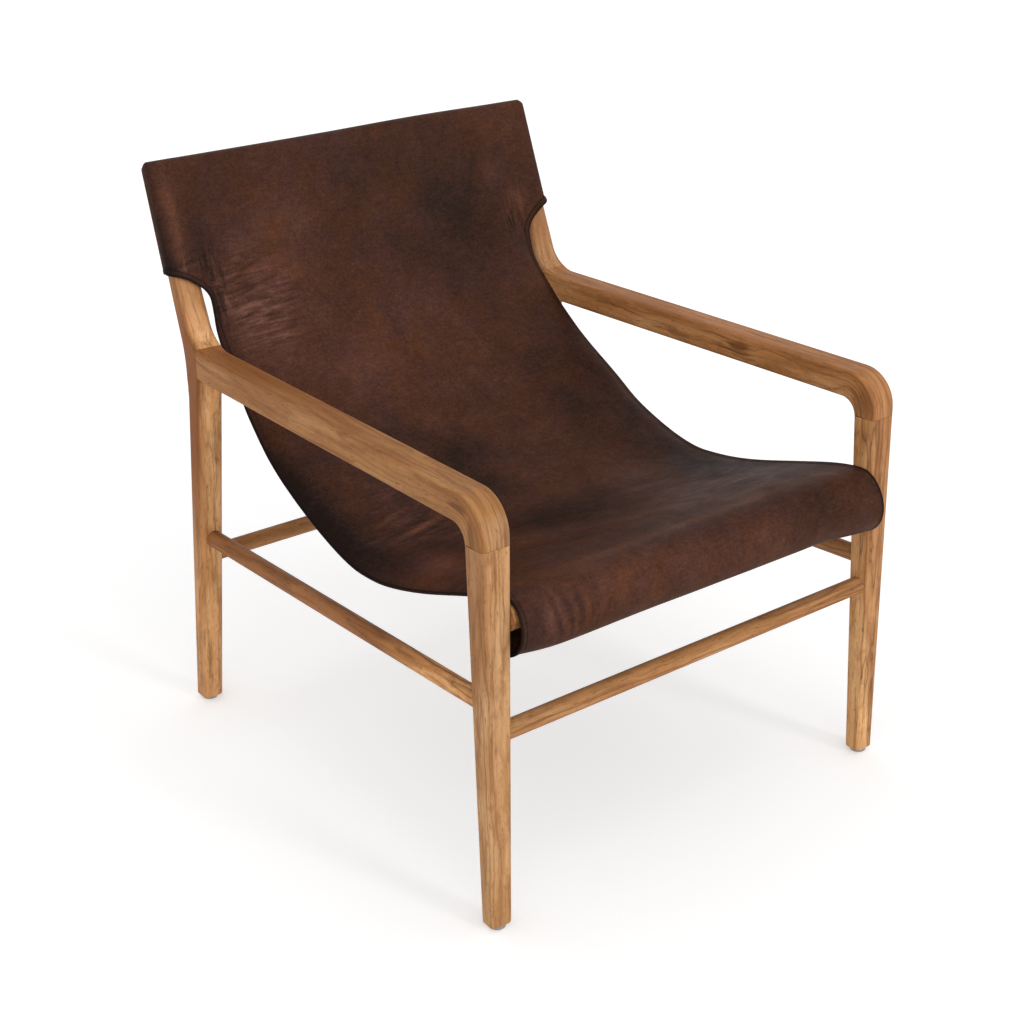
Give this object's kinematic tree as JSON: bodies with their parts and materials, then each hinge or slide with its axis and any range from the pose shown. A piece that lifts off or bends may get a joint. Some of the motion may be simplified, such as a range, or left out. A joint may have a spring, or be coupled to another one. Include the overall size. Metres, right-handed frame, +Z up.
{
  "type": "sling lounge chair",
  "caption": "Low wooden lounge chair with armrests, tapered legs and round stretchers, and a leather sling hung from a hood over the back posts to a loop round the seat rail.",
  "frame": {"origin": "centre of the bounding box in plan, on the floor under the glides", "axes": "+Z up, the chair faces -Y, +X to the right as seen from the front"},
  "size_m": [0.6886, 0.7956, 0.7993],
  "materials": {
    "teak": "oiled",
    "dowel": "raw",
    "leather": "waxed pull-up leather",
    "glide": "moulded",
    "nail": "plain"
  },
  "bodies": {
    "root": {"back_post_left": "teak", "front_leg_left": "teak", "arm_left": "teak", "side_stretcher_left": "teak", "back_post_right": "teak", "front_leg_right": "teak", "arm_right": "teak", "side_stretcher_right": "teak", "front_stretcher": "teak", "back_stretcher": "teak", "front_seat_rail": "teak", "crest_rail": "teak", "arm_leg_dowel_left_inner": "dowel", "arm_leg_dowel_left_outer": "dowel", "arm_leg_dowel_right_inner": "dowel", "arm_leg_dowel_right_outer": "dowel", "arm_post_dowel_left_inner": "dowel", "arm_post_dowel_left_outer": "dowel", "arm_post_dowel_right_inner": "dowel", "arm_post_dowel_right_outer": "dowel", "sling": "leather", "hood_back_panel": "leather", "glide_pad_front_left": "glide", "glide_pad_front_right": "glide", "glide_pad_back_left": "glide", "glide_pad_back_right": "glide", "glide_nail_front_left": "nail", "glide_nail_front_right": "nail", "glide_nail_back_left": "nail", "glide_nail_back_right": "nail"}
  },
  "joints": []
}
